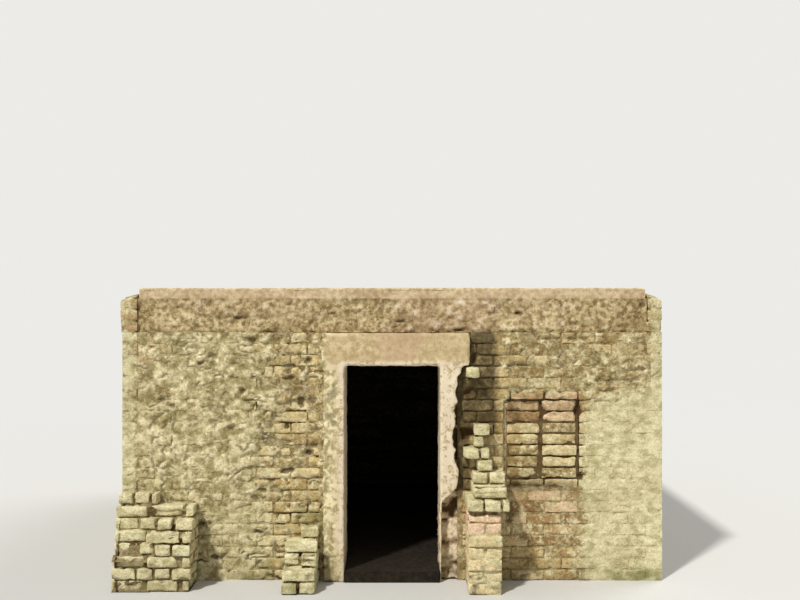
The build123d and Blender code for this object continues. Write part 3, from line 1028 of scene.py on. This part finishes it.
# Roof slab, cast between boards: two halves, each with a rough outer face
SLAB_MARKS = (
    (55, 1747, 45, 11, 14), (270, 1775, 30, 10, 10), (460, 1690, 40, 12, 14),
    (1690, 1855, 22, 22, 12), (-400, 1800, 30, 10, 10), (-1020, 1770, 40, 12, 12),
    (860, 1800, 35, 10, 10), (1220, 1730, 30, 12, 12), (-1450, 1840, 26, 12, 10),
)
SLAB_NET = block_net(
    np.linspace(0, 1, 350), np.linspace(0, 1, 23),
    np.concatenate([np.linspace(0, 0.08, 6), np.linspace(0.2, 1, 6)]),
)


def slab_half(masonry, face, seed, marks=()):
    """Half of the roof slab, from its outer face back to the middle of the roof."""
    low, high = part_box("roof_slab")
    across, up, inward = SLAB_NET[0].T
    u = low.x + across * (high.x - low.x)
    v = low.z + up * (high.z - low.z)
    points = np.stack([u, v, HALF - high.y + inward * high.y], axis=1)
    sample = face.place(points)
    edge = step_up(up, 0.10, 0.0)
    boards = noise(sample * (0.1, 0.1, 1), 0.045, seed=seed + 1, octaves=2)
    pits = step_up(noise(sample, 0.03, seed=seed + 2, octaves=2), 0.30, 0.95)
    chips = step_up(noise(sample, 0.12, seed=seed + 3), 0.2, 0.9)
    pebbly = noise(sample * (0.8, 0.8, 1), 0.034, seed=seed, octaves=2)
    mark = marked(marks, u, v, 0.6 * noise(sample, 0.035, seed=seed + 6), 0.5)
    loss = 0.006 - 0.0045 * pebbly + 0.002 * boards + 0.010 * pits + mark
    loss = np.maximum(loss + edge * (0.004 + 0.014 * chips), 0) * (0.5 + 0.5 * step_up(up, 1.0, 0.9))
    points[:, 2] += loss * step_up(inward, 0.08, 0.0)
    placed = face.place(points)
    drips = step_up(noise(placed * (1, 1, 0.2), 0.08, seed=seed + 4), 0.1, 0.9)
    patchy = noise(placed, 0.5, seed=seed + 5, octaves=2)
    # Painted shade in the low places between the pebbles.
    low_places = step_up(pebbly, 0.0, -0.7)
    blush = band(u + 0.2 * patchy, 0.10, 0.60, 0.20) * bool(marks)
    # The pale limewash sits on the raised pebbles as painted light, and pits and marks darken as painted shade.
    fields = clipped({
        "grime": 0.14 * drips + 0.20 * edge + 0.36 * low_places + 50 * mark,
        "hollow": 0.5 * pits + 40 * mark,
        "red": 0.3 * step_up(patchy, 0.1, 0.7) + 0.4 * blush,
        "wash": (0.45 + 0.35 * blush) * step_up(pebbly, 0.25 - 0.45 * blush, 0.85),
    })
    masonry.add(placed[None], SLAB_NET, 0, moss=0.0, **fields)


slab = Masonry()
slab_half(slab, FRONT, 111, SLAB_MARKS)
slab_half(slab, REAR, 115)
place_piece(slab.mesh("roof_slab_cast"), ["roof_slab"], "roof_concrete", CONCRETE["roof_concrete"])

# Screed, with worn edges, shallow hollows and cracks
SCREED_NET = block_net(np.linspace(0, 1, 146), np.linspace(0, 1, 152), np.array([0, 0.2, 0.45, 0.72, 1]))
SCREED_ROUNDING = 0.018


def screed():
    """The screed over the slab, seen from above as a face of its own."""
    low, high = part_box("roof_screed")
    top = Face("top", (0, 0, high.z), (1, 0, 0), (0, 1, 0))
    shape = SCREED_NET[0]
    points = np.array([low.x, low.y, 0]) + shape * np.array(high - low)
    near = np.array([low.x, low.y, 0]) + SCREED_ROUNDING
    far = np.array([high.x - SCREED_ROUNDING, high.y - SCREED_ROUNDING, 1])
    points, outward = rounded(points, near, far, SCREED_ROUNDING)
    sample = top.place(points)
    edge = np.clip(np.abs(outward[:, :2]).max(axis=1), 0, 1)
    chips = step_up(noise(sample, 0.15, seed=121), 0.25, 0.9) * step_up(shape[:, 2], 1.0, 0.2)
    crack = step_up(np.abs(noise(sample, 0.9, seed=123, octaves=4)), 0.022, 0.0)
    loss = 0.0015 + 0.0018 * (1 + noise(sample, 0.4, seed=122)) + 0.004 * crack
    loss += edge * (0.002 + 0.014 * chips + 0.003 * (1 + noise(sample, 0.04, seed=124)))
    placed = top.place(points - outward * loss[:, None])
    patchy = noise(placed, 0.35, seed=125)
    pools = step_up(noise(placed, 0.55, seed=126, octaves=4), 0.05, 0.75)
    pale = step_up(noise(placed, 0.45, seed=127), 0.0, 0.8)
    # Cracks darken as painted shade, with real dirt and moss in them.
    fields = clipped({
        "grime": 0.55 * crack + 0.20 * step_up(patchy, 0.1, 0.8) + 0.30 * pools,
        "moss": (0.5 * step_up(patchy, 0.2, 0.9) + 0.4 * pools + 0.5 * crack) * (1 - edge),
        "hollow": 0.5 * crack,
        "red": 0.4 * edge,
        "wash": 0.5 * pale * (1 - edge),
    })
    fields["grime"] *= 1 - 0.6 * edge
    masonry = Masonry()
    masonry.add(placed[None], SCREED_NET, 0, **fields)
    place_piece(masonry.mesh("roof_screed_cast"), ["roof_screed"], "roof_screed", CONCRETE["roof_screed"])


screed()


# Mortar that shows between the bricks of kerbs and stubs: the solid, worn back
def mortar_of(node, voxel, side, seed, inset, hollow, on_top=None, packed=0.0):
    """The node's own shape in mortar, inset behind its bricks and darkened by a given share of painted shade.

    on_top is the inset of what faces up. Below the height packed its joints are well filled.
    """
    mesh = divided(f"{node}_mortar", [node], voxel)
    points = vectors_of(mesh.vertices, "co")
    outward = vectors_of(mesh.vertex_normals, "vector")
    loss = np.full(len(points), inset)
    if on_top is not None:
        loss += np.clip(outward[:, 2], 0, 1) * (on_top - inset)
    raked = 0.3 + 0.7 * step_up(points[:, 2], packed - 0.01, packed)
    loss = raked * (loss + 0.3 * inset * noise(points, 0.05, seed=seed))
    worn = relaxed(mesh, points, 1) - outward * loss[:, None]
    low, high = (np.array(corner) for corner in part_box(node))
    worn[points[:, 2] < low[2] + voxel / 2, 2] = low[2]
    worn = np.clip(worn, low, high)
    move_points(mesh, worn)
    fields = weather(worn, side)
    fields["wash"] = np.maximum(fields["wash"], 1 - raked)
    # Painted shade in the open joints between the bricks, darker where they gape, less where joints are packed
    # low down.
    gaping = step_up(noise(points, 0.10, seed=seed + 3), 0.0, 0.5)
    fields.update(tone=0.5, crest=0.5, hollow=hollow * raked * (0.8 + gaping))
    put_fields(mesh, fields)
    place_piece(mesh, [node], "broken_brick", MORTAR)


# Kerbs: three courses of brick with a mortar haunch
def kerb(face, seed):
    """A side kerb: bricks in its outer face, over its own worn mortar."""
    node = f"{face.side}_kerb"
    low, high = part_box(node)
    outer = max(abs(low.x), abs(high.x))
    bricks = courses_of(False, range(WALL_COURSES, WALL_COURSES + KERB_COURSES), bats=True)
    random = np.random.default_rng(seed)
    wear = np.clip(random.normal(0.4, 0.15, len(bricks)), 0.05, 1)
    boxes = brick_boxes(bricks, FACE_REST + 0.006 * wear)
    boxes[:, 5] = outer - HALF + LEAF
    top = boxes[:, 4] > high.z - COURSE / 2
    boxes[top, 4] -= 0.006
    masonry = Masonry()
    outer_face = Face(face.side, face.origin * (outer / HALF), face.u_axis, face.v_axis)
    worn_bricks(masonry, outer_face, boxes, wear, PLAIN, seed)
    place_piece(masonry.mesh(f"{node}_bricks"), [node], "broken_brick", BRICK, MORTAR)
    mortar_of(node, 0.018, face.side, seed + 1, inset=0.010, hollow=0.1, on_top=0.003)


kerb(LEFT, 131)
kerb(RIGHT, 141)

# Stubs of the broken walls, laid in bricks that fill their solids
SCAN_STEP = 0.004
LEAST_REACH = 0.002


def brick_ends(start, end, whole):
    """Where the bricks of a course meet, from its start to its end."""
    ends = [start]
    if whole == HEADER and end - start > 1.3 * PITCH:
        ends.append(start + 1.5 * HEADER)
    while end - ends[-1] > whole + SMALLEST_BAT:
        ends.append(ends[-1] + whole)
    return [*ends, end + JOINT]


def stub_boxes(node, long_first):
    """The bricks that fill a stub, course by course, with depth counted from the wall outwards."""
    tree = BVHTree.FromPolygons(*solid_of(node))
    low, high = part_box(node)

    def reach(x, z):
        """How far the solid stands out from the wall at a place, or nothing."""
        hit = tree.ray_cast(Vector((x, low.y - 1, z)), Vector((0, 1, 0)))[0]
        return -HALF - hit.y if hit is not None and hit.y < -HALF - LEAST_REACH else 0.0

    boxes = []
    for level in range(math.ceil(high.z / COURSE)):
        foot, top = level * COURSE + JOINT / 2, (level + 1) * COURSE - JOINT / 2
        middle = (level + 0.4) * COURSE
        across = np.arange(low.x + SCAN_STEP / 2, high.x, SCAN_STEP)
        filled = [x for x in across if reach(x, middle) > SMALLEST_BAT]
        if not filled:
            continue
        whole = PITCH if (level % 2 == 0) == long_first else HEADER
        step = PITCH + HEADER - whole
        ends = brick_ends(filled[0] - SCAN_STEP / 2, filled[-1] + SCAN_STEP / 2, whole)
        for a, b in zip(ends, ends[1:]):
            far = reach((a + b - JOINT) / 2, middle)
            near = 0.0
            while far - near > SMALLEST_BAT:
                out = min(near + step - JOINT, far)
                if far - out < SMALLEST_BAT:
                    out = far
                boxes.append((a, foot, -out, b - JOINT, top, -near))
                near = out + JOINT
    return np.array(boxes)


def stub(node, long_first, seed, limed_from, loose):
    """A broken wall: bricks as far as its solid reaches, over its own worn mortar.

    From the course limed_from up it is pale, and the two courses below are pink. loose is how far
    its bricks have lost their edges.
    """
    random = np.random.default_rng(seed)
    boxes = stub_boxes(node, long_first)
    count = len(boxes)
    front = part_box(node)[0].y
    levels = np.round(boxes[:, 1] / COURSE - 0.05)
    limed = levels >= limed_from
    pink = ~limed & (levels >= limed_from - 2)
    chance = random.uniform(0, 1, (4, count))
    own_fields = {
        "tone": np.where(limed, 0.80 + 0.50 * chance[0], 1.3 + 0.25 * chance[0]),
        "wash": np.where(limed, 0.80 + 0.20 * chance[1], np.where(pink, 0.10, 0.40) + 0.25 * chance[1]),
        "lichen": np.where(limed, 0.30 + 0.60 * chance[2], 0.10 * chance[2]),
        "red": np.where(pink, 0.80 + 0.20 * chance[3], 0.25 * chance[3]),
        "warm": random.uniform(0.6, 1.0, count),
    }
    boxes[:, 0] += random.uniform(0.001, 0.002 + loose, count)
    boxes[:, 3] -= random.uniform(0.001, 0.002 + loose, count)
    boxes[:, 2] += random.uniform(0.001, 0.002 + 2 * loose, count)
    boxes[levels == limed_from - 1, 4] -= 0.018
    boxes[:, [2, 5]] += -HALF - front
    wear = np.clip(random.normal(0.45 + 40 * loose, 0.2, count), 0.1, 1)
    worn_back = np.minimum(0.022, 0.4 * (boxes[:, 5] - boxes[:, 2]))
    boxes[:, 2] += worn_back * (random.uniform(0, 1, count) < 25 * (loose - 0.003))
    masonry = Masonry()
    face = Face("stub", (0, front, 0), (1, 0, 0), (0, 0, 1))
    worn_bricks(masonry, face, boxes, wear, THICK, seed, own_fields)
    place_piece(masonry.mesh(f"{node}_bricks"), [node], "broken_brick", BRICK, MORTAR)
    packed = (limed_from - 1) * COURSE + 0.012
    mortar_of(node, 0.012, "stub", seed + 7, inset=0.036, hollow=0.45, packed=packed)


stub("right_wing_stub", True, 151, limed_from=7, loose=0.003)
stub("left_wing_stub", False, 161, limed_from=0, loose=0.005)
stub("left_corner_stub", True, 171, limed_from=0, loose=0.009)

# Inner concrete keeps its own shape
# Painted shade: the inner concrete is coloured near black for the unlit room.
for node in ("left_core", "right_core", "rear_core", "front_core_left", "front_core_right", "floor_slab"):
    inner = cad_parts[node].data
    inner.materials.clear()
    inner.materials.append(CONCRETE["floor_concrete" if node == "floor_slab" else "core_concrete"])

# Stage, light and camera
BACKDROP = display(236, 235, 232)
FLOOR_COLOUR = display(206, 204, 199)
FLOOR_REACH = 60.0
FADE_START = 4.5
FADE_END = 14.0
FILL_COLOUR = (0.93, 0.96, 1.0, 1)
FILL_STRENGTH = 0.36
EYE_HEIGHT = 1.89
EYE_ACROSS = 0.053
EYE_DISTANCE = 7.0
LENS = 46.8
SENSOR = 36.0


def studio_floor():
    """A pale floor that takes the object's shadow and fades into the backdrop colour far away."""
    corners = [(x * FLOOR_REACH, y * FLOOR_REACH, 0) for x, y in ((-1, -1), (1, -1), (1, 1), (-1, 1))]
    mesh = bpy.data.meshes.new("studio_floor")
    mesh.from_pydata(corners, [], [(0, 1, 2, 3)])
    floor = bpy.data.objects.new("studio_floor", mesh)
    bpy.context.scene.collection.objects.link(floor)
    shader = Shader("studio_floor")
    shader.surface.inputs["Base Color"].default_value = FLOOR_COLOUR
    far = shader.node("ShaderNodeEmission", {"Color": BACKDROP, "Strength": 1.0})
    away = shader.node("ShaderNodeVectorMath", {0: shader.here}, operation="LENGTH").outputs["Value"]
    share = shader.times(shader.between(away, FADE_START, FADE_END), shader.shows_backdrop())
    mixed = shader.node("ShaderNodeMixShader", {0: share, 1: shader.surface.outputs[0], 2: far.outputs[0]})
    shader.tree.links.new(mixed.outputs[0], shader.output.inputs["Surface"])
    mesh.materials.append(shader.material)


def backdrop():
    """A world that is pale to the camera and a weaker soft light to the object."""
    world = bpy.data.worlds.new("studio")
    bpy.context.scene.world = world
    world.use_nodes = True
    sky = Nodes(world.node_tree)
    fill = sky.node("ShaderNodeBackground", {"Color": FILL_COLOUR, "Strength": FILL_STRENGTH})
    seen = sky.node("ShaderNodeBackground", {"Color": BACKDROP, "Strength": 1.0})
    shares = {0: sky.shows_backdrop(), 1: fill.outputs[0], 2: seen.outputs[0]}
    chosen = sky.node("ShaderNodeMixShader", shares)
    sky.node("ShaderNodeOutputWorld", {"Surface": chosen.outputs[0]})


def sun(name, strength, softness, direction, colour):
    """A distant lamp shining along a direction, its softness in degrees."""
    light = bpy.data.lights.new(name, "SUN")
    light.energy = strength
    light.angle = math.radians(softness)
    light.color = colour
    lamp = bpy.data.objects.new(name, light)
    lamp.rotation_mode = "QUATERNION"
    lamp.rotation_quaternion = Vector(direction).to_track_quat("-Z", "Y")
    bpy.context.scene.collection.objects.link(lamp)


def camera():
    """A level camera at the photograph's eye height, looking straight at the front."""
    data = bpy.data.cameras.new("camera")
    data.sensor_width = SENSOR
    data.lens = LENS
    eye = bpy.data.objects.new("camera", data)
    eye.location = (EYE_ACROSS, -HALF - EYE_DISTANCE, EYE_HEIGHT)
    eye.rotation_euler = (math.radians(90), 0, 0)
    bpy.context.scene.collection.objects.link(eye)
    bpy.context.scene.camera = eye


studio_floor()
backdrop()
sun("key", strength=3.1, softness=4.0, direction=(0.36, 0.54, -0.76), colour=(0.98, 0.975, 0.95))
sun("back", strength=1.4, softness=40.0, direction=(-0.60, -0.50, -0.62), colour=(0.94, 0.97, 1.0))
camera()
bpy.context.scene.view_settings.view_transform = "Standard"
